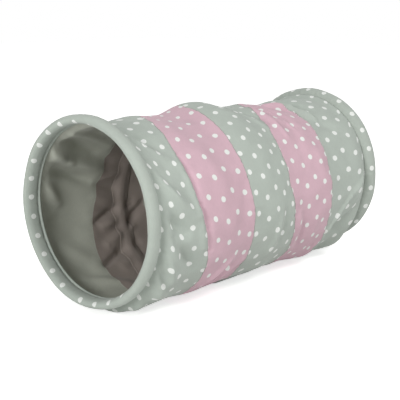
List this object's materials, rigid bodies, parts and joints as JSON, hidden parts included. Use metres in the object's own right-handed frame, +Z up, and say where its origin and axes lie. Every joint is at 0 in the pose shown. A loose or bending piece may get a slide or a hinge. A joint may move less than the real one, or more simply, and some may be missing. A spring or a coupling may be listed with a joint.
{
  "type": "cat tunnel",
  "caption": "Collapsible fabric play tunnel for a cat: an open tube of sewn cloth bands held out by a spring coil, with a padded hem round a hoop at each mouth.",
  "frame": {"origin": "on the surface that the tunnel lies on, under the middle of its length and width", "axes": "+X runs along the tunnel from the front mouth, the near one in the picture, to the rear mouth; +Z is up"},
  "size_m": [0.5, 0.2582, 0.2611],
  "materials": {
    "sage_cotton": "matt woven cotton, grey-green with small off-white dots",
    "pink_cotton": "matt woven cotton, dusty pink with small off-white dots",
    "sage_thread": "matt sewing thread",
    "spring_steel": "drawn and oiled wire",
    "zinc_sleeve": "dull zinc plate",
    "channel_tape": "matt woven tape",
    "cap_plastic": "moulded"
  },
  "bodies": {
    "front_end": {"front_hem": "sage_cotton", "front_hem_stitching": "sage_thread", "front_hoop": "spring_steel", "front_hoop_sleeve": "zinc_sleeve", "front_grey_band": "sage_cotton", "coil_wire": "spring_steel", "coil_channel": "channel_tape"},
    "seam_1": {"front_pink_band": "pink_cotton", "seam_1_stitching": "sage_thread", "front_coil_cap": "cap_plastic"},
    "seam_2": {"middle_grey_band": "sage_cotton", "seam_2_stitching": "sage_thread"},
    "seam_3": {"rear_pink_band": "pink_cotton", "seam_3_stitching": "sage_thread"},
    "seam_4": {"rear_grey_band": "sage_cotton", "seam_4_stitching": "sage_thread"},
    "rear_end": {"rear_hem": "sage_cotton", "rear_hem_stitching": "sage_thread", "rear_hoop": "spring_steel", "rear_hoop_sleeve": "zinc_sleeve"},
    "rear_coil_end": {"rear_coil_cap": "cap_plastic"}
  },
  "joints": [
    {"name": "front_grey_collapse", "type": "slide", "parent": "front_end", "child": "seam_1", "axis": [-1, 0, 0], "range_m": [0, 0.0735], "stiffness_N_per_m": 60, "deforming": ["front_grey_band", "seam_1_stitching", "coil_wire", "coil_channel"]},
    {"name": "front_pink_collapse", "type": "slide", "parent": "seam_1", "child": "seam_2", "axis": [-1, 0, 0], "range_m": [0, 0.09423], "stiffness_N_per_m": 60, "deforming": ["front_pink_band", "seam_2_stitching"]},
    {"name": "middle_grey_collapse", "type": "slide", "parent": "seam_2", "child": "seam_3", "axis": [-1, 0, 0], "range_m": [0, 0.09423], "stiffness_N_per_m": 60, "deforming": ["middle_grey_band", "seam_3_stitching"]},
    {"name": "rear_pink_collapse", "type": "slide", "parent": "seam_3", "child": "seam_4", "axis": [-1, 0, 0], "range_m": [0, 0.09423], "stiffness_N_per_m": 60, "deforming": ["rear_pink_band", "seam_4_stitching"]},
    {"name": "rear_grey_collapse", "type": "slide", "parent": "seam_4", "child": "rear_end", "axis": [-1, 0, 0], "range_m": [0, 0.0735], "stiffness_N_per_m": 60, "deforming": ["rear_grey_band"]},
    {"name": "rear_coil_end_draw", "type": "slide", "parent": "rear_end", "child": "rear_coil_end", "axis": [1, 0, 0], "range_m": [0, 0.03232]}
  ],
  "couplings": [
    {"joint": "front_pink_collapse", "follows": "front_grey_collapse", "ratio": 1.282},
    {"joint": "middle_grey_collapse", "follows": "front_grey_collapse", "ratio": 1.282},
    {"joint": "rear_pink_collapse", "follows": "front_grey_collapse", "ratio": 1.282},
    {"joint": "rear_grey_collapse", "follows": "front_grey_collapse", "ratio": 1},
    {"joint": "rear_coil_end_draw", "follows": "front_grey_collapse", "ratio": 0.43963}
  ]
}
